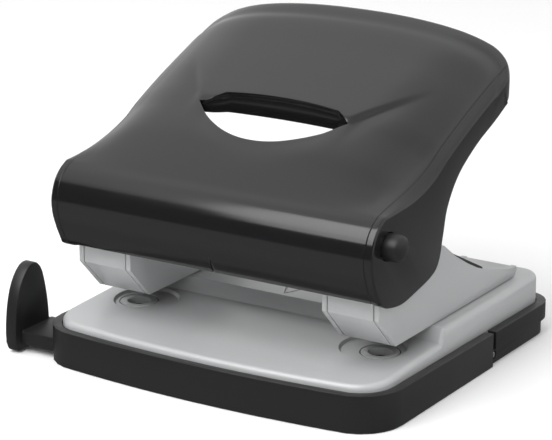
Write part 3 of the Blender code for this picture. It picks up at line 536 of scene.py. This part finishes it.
def slot_point(across, along_side, side):
    """Point on the slot's outline for a place on the deleted block's border."""
    if side == "front":
        x = across * SLOT_SIDE_X
        return x, slot_front(x)
    lip_end = SLOT_SIDE_X if across > 0 else SLOT_LEFT_X
    if side == "rear":
        x = across * lip_end
        return x, slot_rear(x)
    if along_side < 0.5:
        x = SLOT_SIDE_X + (SLOT_TIP_X - SLOT_SIDE_X) * along_side * 2
        return math.copysign(x, across), slot_front(x)
    share = along_side * 2 - 1
    x, y = Vector((SLOT_TIP_X, SLOT_TIP_Y)).lerp(Vector((lip_end, slot_rear(lip_end))), share)
    if across < 0:
        y -= LEFT_DIP * math.sin(math.pi * share)
    return math.copysign(x, across), y


def warped(x, y):
    """Draw a point of the flat roof grid towards the slot's outline."""
    past_x = max(abs(x) - HOLE_HALF_X, 0) / (RING_HALF_X - HOLE_HALF_X)
    past_front = (HOLE_FRONT - y) / (HOLE_FRONT - RING_FRONT)
    past_rear = (y - HOLE_REAR) / (RING_REAR - HOLE_REAR)
    past_y = max(past_front, past_rear, 0)
    ring = max(past_x, past_y)
    if ring >= 1:
        return x, y
    front = HOLE_FRONT + (RING_FRONT - HOLE_FRONT) * ring
    rear = HOLE_REAR + (RING_REAR - HOLE_REAR) * ring
    across = x / (HOLE_HALF_X + (RING_HALF_X - HOLE_HALF_X) * ring)
    along_side = (y - front) / (rear - front)
    if past_x >= past_y and ring > 0 or abs(across) > 0.9999:
        side = "end"
    else:
        side = "front" if along_side < 0.5 else "rear"
    goal = slot_point(across, along_side, side)
    start = (across * HOLE_HALF_X, HOLE_FRONT + along_side * (HOLE_REAR - HOLE_FRONT))
    pull = (1 - ring) ** 2 * (1 + 2 * ring)
    return x + (goal[0] - start[0]) * pull, y + (goal[1] - start[1]) * pull


# %% [markdown]
# ## The handle: placing the points
# Each row of the grid belongs to the roll, the roof or the rear rim. A point is first put on its
# line, and then pressed in along the surface's own inward direction where an edge is rounded or a
# fine line runs, so the depth of a line is the same on the roll and on the roof.

# %% Place every point of the grid
def skin_point(x, row):
    """Place of a grid point on the handle before its edges are rounded, in millimetres."""
    if row <= ROLL_ROWS:
        return Vector((x, *along(ROLL, row / ROLL_ROWS)))
    if row <= ROLL_ROWS + ROOF_ROWS:
        share = (row - ROLL_ROWS) / ROOF_ROWS
        x, y = warped(x, ROOF_FRONT + (rear_edge(x) - RIM_R - ROOF_FRONT) * share)
        blend = eased(share, 0.0, 0.06)      # small forms fade in behind the roll, without a step
        return Vector((x, y, roof(x, y) * blend + crowned(x, y) * (1 - blend)))
    out, down = RIM_LINE[row - ROLL_ROWS - ROOF_ROWS - 1]
    end = rear_edge(x) - RIM_R
    return Vector((x, end + out, roof(x, end) + down))


def sunk(x, z):
    """How far a point is pressed in: the rounded side edge, the seam along it and the centre mark."""
    depth = 0.0
    past = abs(x) - (HALF_W - EDGE_R)
    if past > 0:
        depth = EDGE_R - math.sqrt(max(EDGE_R ** 2 - past ** 2, 0.0))
    if abs(abs(x) - SEAM_X) < SEAM_HALF:
        depth = SEAM_DEPTH
    if abs(x) < NOTCH_HALF and z < NOTCH_TOP_Z:
        depth = NOTCH_DEPTH
    return depth


bpy.ops.mesh.primitive_grid_add(x_subdivisions=len(columns) - 1, y_subdivisions=row_count, size=2)
handle = bpy.context.object
handle.name = handle.data.name = "moulded_handle"
grid = {}
for vertex in handle.data.vertices:
    i = round((vertex.co.x + 1) / 2 * (len(columns) - 1))
    j = round((vertex.co.y + 1) / 2 * row_count)
    grid[i, j] = vertex.index
skin = {(i, j): skin_point(columns[i], j) for i, j in grid}
for (i, j), index in grid.items():
    run = skin[i, min(j + 1, row_count)] - skin[i, max(j - 1, 0)]
    inward = Vector((0, run.z, -run.y)).normalized()
    point = skin[i, j] + inward * sunk(columns[i], skin[i, j].z)
    handle.data.vertices[index].co = point * MM
print("handle grid:", len(handle.data.vertices), "points")

# %% [markdown]
# ## The handle: the slot's faces and the side edges
# Deleting faces and extruding edges both renumber the mesh, so what is wanted is found first, while
# every point still has its known station. The extruded edges are the start of the side walls.

# %% Find the slot's faces and extrude the side edges
station = {index: key for key, index in grid.items()}
inside = []
for face in handle.data.polygons:
    middle_x = sum(columns[station[v][0]] for v in face.vertices) / 4
    middle_row = sum(station[v][1] for v in face.vertices) / 4 - ROLL_ROWS
    if abs(middle_x) < HOLE_HALF_X and HOLE_ROW_FRONT < middle_row < HOLE_ROW_REAR:
        inside.append(face.index)
side_edges = [edge.index for edge in handle.data.edges
              if all(station[v][0] in (0, len(columns) - 1) for v in edge.vertices)]
open_with(handle, edges=side_edges)
bpy.ops.mesh.extrude_edges_move()
close()
print("slot:", len(inside), "faces to open; side walls:", len(side_edges), "edges drawn out")

# %% [markdown]
# ## The handle: side walls and thickness
# The edges along both sides are extruded once, and the new points are moved down to the skirt line,
# so a side wall is one row of faces. The slot's faces are deleted, and Solidify then turns the open
# skin into a wall of even thickness. Where the rounded side edge is tighter than the wall, the
# inner layer would cross itself, so its points are gathered into the inner corner and merged.

# %% Side walls, slot and wall thickness
# The roll, the roof and the rim each hang over this share of the skirt line.
ROLL_SHARE, ROOF_SHARE = 9 / 26, 14 / 26


def skirt_share(row):
    """Share along the skirt line for a row of the grid."""
    if row <= ROLL_ROWS:
        return ROLL_SHARE * row / ROLL_ROWS
    if row <= ROLL_ROWS + ROOF_ROWS:
        return ROLL_SHARE + ROOF_SHARE * (row - ROLL_ROWS) / ROOF_ROWS
    rest = 1 - ROLL_SHARE - ROOF_SHARE
    return 1 - rest * (row_count - row) / len(RIM_LINE)


def spot(vertex):
    """A vertex's place in whole tenths of a micrometre, the same for two vertices in one place."""
    return tuple(round(c * 1e7) for c in vertex.co)


rows_at = {}
for j in range(row_count + 1):
    for i in (0, len(columns) - 1):
        rows_at[spot(handle.data.vertices[grid[i, j]])] = j
for vertex in handle.data.vertices[len(grid):]:
    row = rows_at[spot(vertex)]
    if 0 < row < row_count:
        y, z = along(SKIRT_LINE, skirt_share(row))
        vertex.co.y, vertex.co.z = y * MM, z * MM
open_with(handle, faces=inside)
bpy.ops.mesh.delete(type="FACE")
close()
open_with(handle, everything=True)
bpy.ops.mesh.remove_doubles(threshold=0.000001)
close()

outer_points = len(handle.data.vertices)
use(handle, "SOLIDIFY", thickness=WALL * MM, offset=-1, use_even_offset=True)
inner_x = (HALF_W - WALL) * MM
for vertex in handle.data.vertices[outer_points:]:
    vertex.co.x = min(max(vertex.co.x, -inner_x), inner_x)
open_with(handle, everything=True)
bpy.ops.mesh.remove_doubles(threshold=0.00004)
bpy.ops.mesh.dissolve_degenerate(threshold=0.00002)
close()
print("handle wall:", len(handle.data.polygons), "faces")

# %% [markdown]
# ## The handle: holes and rounded rims
# The axle ends in the left wall and the button comes out of the right one. Both holes lie on flat
# walls, where a boolean is clean. A narrow bevel then rounds every sharp rim in one go.

# %% Holes for the pivot and the button, and rounded rims
BORE_LENGTH = 12 * MM


def bore(x, radius, name):
    """A cylinder along the pivot's axis through the side wall at x."""
    bpy.ops.mesh.primitive_cylinder_add(vertices=64, radius=radius, depth=BORE_LENGTH,
                                        location=(x, PIVOT_Y, PIVOT_Z), rotation=(0, math.pi / 2, 0))
    return settle(bpy.context.object, name)


axle_low, axle_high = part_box("pivot_axle")
PIVOT_Y, PIVOT_Z = (axle_low.y + axle_high.y) / 2, (axle_low.z + axle_high.z) / 2
AXLE_R = (axle_high.z - axle_low.z) / 2
button_low, button_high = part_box("lock_button")
BUTTON_R = (button_high.z - button_low.z) / 2
CLEARANCE = 0.3 * MM
cut(handle, bore(-HALF_W * MM, AXLE_R + CLEARANCE, "axle_bore"))
cut(handle, bore(HALF_W * MM, BUTTON_R + CLEARANCE, "button_bore"))
use(handle, "BEVEL", width=0.3 * MM, segments=3, limit_method="ANGLE", angle_limit=math.radians(55),
    use_clamp_overlap=True)
smooth(handle, 38)
place(handle, handle_abs, "handle", "gloss_black_plastic", "handle_shell")

# %% [markdown]
# ## Inside the finger slot
# Behind the slot's rear lip a second wall hangs a little further back, which stiffens the opening.
# It is a narrow grid that follows the slot's rear edge from one end to the other, given a thickness.
# Its top row sinks into the roof, so the two meet without a gap.

# %% Wall behind the slot's rear lip
SLEEVE_LOW_Z, SLEEVE_BACK, SLEEVE_T = 69.0, 0.7, 1.5
SLEEVE_SHOWS = 0.6           # it hangs at least this far below the roof's underside
SUNK_SHARE = 0.6             # share of the roof's thickness left above what sinks into it
left_end = [slot_point(-1, 0.5 + i / 8, "end") for i in range(4)]
rear_lip = [slot_point(i / 12 - 1, 0, "rear") for i in range(25)]
right_end = [slot_point(1, 0.5 + i / 8, "end") for i in (3, 2)]
sleeve_line = left_end + rear_lip + right_end
bpy.ops.mesh.primitive_grid_add(x_subdivisions=len(sleeve_line) - 1, y_subdivisions=1, size=2)
sleeve = bpy.context.object
for vertex in sleeve.data.vertices:
    x, y = sleeve_line[round((vertex.co.x + 1) / 2 * (len(sleeve_line) - 1))]
    y += SLEEVE_BACK
    top_z = roof(x, y) - SUNK_SHARE * WALL
    low_z = min(SLEEVE_LOW_Z, roof(x, y) - WALL - SLEEVE_SHOWS)
    vertex.co = Vector((x, y, top_z if vertex.co.y > 0 else low_z)) * MM
use(sleeve, "SOLIDIFY", thickness=SLEEVE_T * MM, offset=-1, use_even_offset=True)
use(sleeve, "BEVEL", width=0.15 * MM, segments=2, limit_method="ANGLE", angle_limit=math.radians(50))
smooth(sleeve, 35)
place(settle(sleeve, "slot_inner_wall"), handle_abs, "handle", "gloss_black_plastic")

# %% [markdown]
# ## Small steel pieces
# Pins, rings, rivets and the axle are turned or stamped steel, and the dies are painted with the
# base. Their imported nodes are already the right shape, so copies with a hair of a round on the edges
# are enough. The dies' tops move down with the recess, to lie level with its floor.

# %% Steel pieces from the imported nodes
STEEL_ROUND_MM = 0.08
DIE_TOP = 0.3 * MM           # points this near the die's top belong to it
STEEL_LOOKS = [("press_bar", "drive_bar", ground_steel, "handle", "ground_steel"),
               ("pivot_axle", "axle", ground_steel, "base", "ground_steel")]
for side in ("left", "right"):
    STEEL_LOOKS += [
        (side + "_punch_pin", side + "_pin_rod", ground_steel, side + "_pin", "ground_steel"),
        (side + "_die", side + "_die_ring", silver_paint, "base", "silver_painted_steel"),
        (side + "_axle_clip", side + "_clip", spring_steel, "base", "spring_steel"),
        (side + "_lever_screw", side + "_screw", zinc_plate, "handle", "zinc_plated_steel"),
        (side + "_front_rivet", side + "_rivet_front", zinc_plate, "base", "zinc_plated_steel"),
        (side + "_rear_rivet", side + "_rivet_rear", zinc_plate, "base", "zinc_plated_steel"),
        (side + "_flap_pin", side + "_hinge_pin", ground_steel, "base", "ground_steel")]
for node, name, material, body, slot in STEEL_LOOKS:
    piece = refined(node, name, STEEL_ROUND_MM)
    if name.endswith("die_ring"):
        for vertex in piece.data.vertices:
            if vertex.co.z > TABLE_Z - DIE_TOP:
                vertex.co.z -= RECESS_DEPTH
    place(piece, material, body, slot, node)

# %% [markdown]
# ## Return springs
# Each spring stands on its guide and is squeezed by the head of its pin. A spring can't ride on
# either body, so its copy stays on the base.

# %% Springs
for side in ("left", "right"):
    node = side + "_return_spring"
    low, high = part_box(node)
    coil = refined(node, side + "_spring_coil", 0)
    place(coil, spring_steel, "base", "spring_steel", node)
    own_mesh(coil)

# %% [markdown]
# ## Screw bosses
# Under the roof two tubes take the levers' screws. They could be part of the moulding's mesh, but as
# separate pieces that sink into the roof they need no union. Their top rings follow the roof's slope.

# %% Bosses
BOSS_R, BOSS_HOLE_R, BOSS_BITE, BOSS_LOW_Z = 3.2 * MM, 1.4 * MM, 4.4 * MM, 59.7 * MM
for side in ("left", "right"):
    low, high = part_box(side + "_lever_screw")
    x, y = (low.x + high.x) / 2, (low.y + high.y) / 2
    boss_high = (roof(x / MM, y / MM) - WALL) * MM
    boss_middle = (boss_high + BOSS_LOW_Z) / 2
    bpy.ops.mesh.primitive_cylinder_add(vertices=48, radius=BOSS_R, depth=boss_high - BOSS_LOW_Z,
                                        location=(x, y, boss_middle))
    boss = settle(bpy.context.object, side + "_screw_boss")
    for vertex in boss.data.vertices:
        if vertex.co.z > boss_middle:
            vertex.co.z = (roof(vertex.co.x / MM, vertex.co.y / MM) - SUNK_SHARE * WALL) * MM
    bpy.ops.mesh.primitive_cylinder_add(vertices=32, radius=BOSS_HOLE_R, depth=2 * BOSS_BITE,
                                        location=(x, y, BOSS_LOW_Z))
    cut(boss, settle(bpy.context.object, "boss_bore"))
    use(boss, "BEVEL", width=0.12 * MM, segments=2, limit_method="ANGLE", angle_limit=math.radians(50))
    smooth(boss, 35)
    place(boss, handle_abs, "handle", "gloss_black_plastic")

# %% [markdown]
# ## Studio floor
# A plain pale floor lies a hair under the punch. It isn't seen in reflections, so that the gloss
# handle mirrors only what is placed round it on purpose.

# %% Floor
bpy.ops.mesh.primitive_plane_add(size=6, location=(0, 0, -0.2 * MM))
floor = settle(bpy.context.object, "studio_floor")
floor_paint = bpy.data.materials.new("matt_white_floor")
floor_paint.use_nodes = True
floor_shader = floor_paint.node_tree.nodes["Principled BSDF"]
floor_shader.inputs["Base Color"].default_value = linear("#f7f7f7")
floor_shader.inputs["Roughness"].default_value = 0.9
floor_shader.inputs["Specular IOR Level"].default_value = 0.1
floor.data.materials.append(floor_paint)
floor.visible_glossy = False

# %% [markdown]
# ## Lights
# Three soft lights fill in from above, from the right and from low in front, and aren't mirrored. A
# fourth, a large card in front and above, is the only one that the gloss shows: it makes the bright
# patch along the right half of the roll. Its left edge ends the patch, and its foot and head set
# how far the patch reaches down and up.

# %% Lights
def soft_light(name, azimuth, elevation, distance, size, power):
    """A square light that looks at the punch from this direction and isn't mirrored in it."""
    a, e = math.radians(azimuth), math.radians(elevation)
    away = Vector((math.sin(a) * math.cos(e), -math.cos(a) * math.cos(e), math.sin(e)))
    bpy.ops.object.light_add(type="AREA", location=LOOK_AT + away * distance)
    lamp = bpy.context.object
    lamp.name = name
    lamp.data.shape = "SQUARE"
    lamp.data.size = size
    lamp.data.energy = power
    lamp.rotation_euler = (-away).to_track_quat("-Z", "Y").to_euler()
    lamp.visible_glossy = False


soft_light("overhead_softbox", -20, 62, 0.9, 0.9, 1.4)
soft_light("right_fill", 95, 35, 1.2, 0.6, 0.7)
soft_light("low_front_fill", 10, 20, 1.1, 0.7, 3.0)

CARD_X = (-0.34, 0.16)
CARD_FOOT, CARD_HEAD = Vector((-0.58, 0.32)), Vector((-0.20, 0.64))     # y and z of its two ends
CARD_POWER = 2.6
card_run = CARD_HEAD - CARD_FOOT
card_middle = (CARD_HEAD + CARD_FOOT) / 2
bpy.ops.object.light_add(type="AREA", location=(sum(CARD_X) / 2, *card_middle),
                         rotation=(math.atan2(card_run.y, card_run.x), 0, 0))
card = bpy.context.object
card.name = "front_card"
card.data.shape = "RECTANGLE"
card.data.size, card.data.size_y = CARD_X[1] - CARD_X[0], card_run.length
card.data.energy = CARD_POWER

# %% [markdown]
# ## Surroundings
# Black gloss plastic looks like what is round it. Towards the front the surroundings are grey below,
# black in a band at the height of the roll, and light above, which gives the roll its dark stripe.
# Towards the sides and the rear there is no black band, so the flanks and the flat top stay grey.
# The camera itself sees plain white. A picture of a studio could do this, but two ramps over the
# height of the direction need no file and each band can be moved by one number.

# %% Surroundings
# Light from each height: (height share, 0 straight down and 1 straight up; radiance).
FRONT_LIGHT = ((0.0, 0.34), (0.41, 0.34), (0.45, 0.012), (0.75, 0.012), (0.80, 0.75), (0.92, 1.15),
               (1.0, 0.65))
ROUND_LIGHT = ((0.0, 0.24), (0.44, 0.26), (0.52, 0.80), (0.80, 0.85), (0.92, 1.1), (1.0, 0.65))
BAND_EDGE = (-0.52, -0.36)   # the black band fades out between these values of the direction's y
world = bpy.data.worlds.new("studio_surroundings")
bpy.context.scene.world = world
world.use_nodes = True
tree = world.node_tree
sky = tree.nodes["Background"]
direction = tree.nodes.new("ShaderNodeTexCoord")
split = tree.nodes.new("ShaderNodeSeparateXYZ")
tree.links.new(direction.outputs["Generated"], split.inputs["Vector"])


def share_of(axis, low, high):
    """0 where the direction's axis is at low, 1 where it is at high."""
    span = tree.nodes.new("ShaderNodeMapRange")
    span.inputs["From Min"].default_value, span.inputs["From Max"].default_value = low, high
    tree.links.new(split.outputs[axis], span.inputs["Value"])
    return span.outputs["Result"]


def light_by_height(steps):
    """Grey light that depends on the height of the direction."""
    ramp = tree.nodes.new("ShaderNodeValToRGB")
    tree.links.new(height, ramp.inputs["Fac"])
    stops = ramp.color_ramp.elements
    while len(stops) < len(steps):
        stops.new(0.5)
    for stop, (position, light) in zip(stops, steps):
        stop.position = position
        stop.color = (light, light, light, 1.0)
    return ramp.outputs["Color"]


height = share_of("Z", -1.0, 1.0)
mixed = tree.nodes.new("ShaderNodeMix")
mixed.data_type = "RGBA"
tree.links.new(share_of("Y", *BAND_EDGE), mixed.inputs["Factor"])
tree.links.new(light_by_height(FRONT_LIGHT), mixed.inputs[6])
tree.links.new(light_by_height(ROUND_LIGHT), mixed.inputs[7])
tree.links.new(mixed.outputs[2], sky.inputs["Color"])
backdrop = tree.nodes.new("ShaderNodeBackground")
backdrop.inputs["Color"].default_value = (1, 1, 1, 1)
seen = tree.nodes.new("ShaderNodeLightPath")
choose = tree.nodes.new("ShaderNodeMixShader")
tree.links.new(seen.outputs["Is Camera Ray"], choose.inputs["Fac"])
tree.links.new(sky.outputs["Background"], choose.inputs[1])
tree.links.new(backdrop.outputs["Background"], choose.inputs[2])
tree.links.new(choose.outputs["Shader"], tree.nodes["World Output"].inputs["Surface"])
bpy.context.scene.view_settings.view_transform = "Standard"
print("surroundings:", len(FRONT_LIGHT), "steps in front,", len(ROUND_LIGHT), "round the sides")
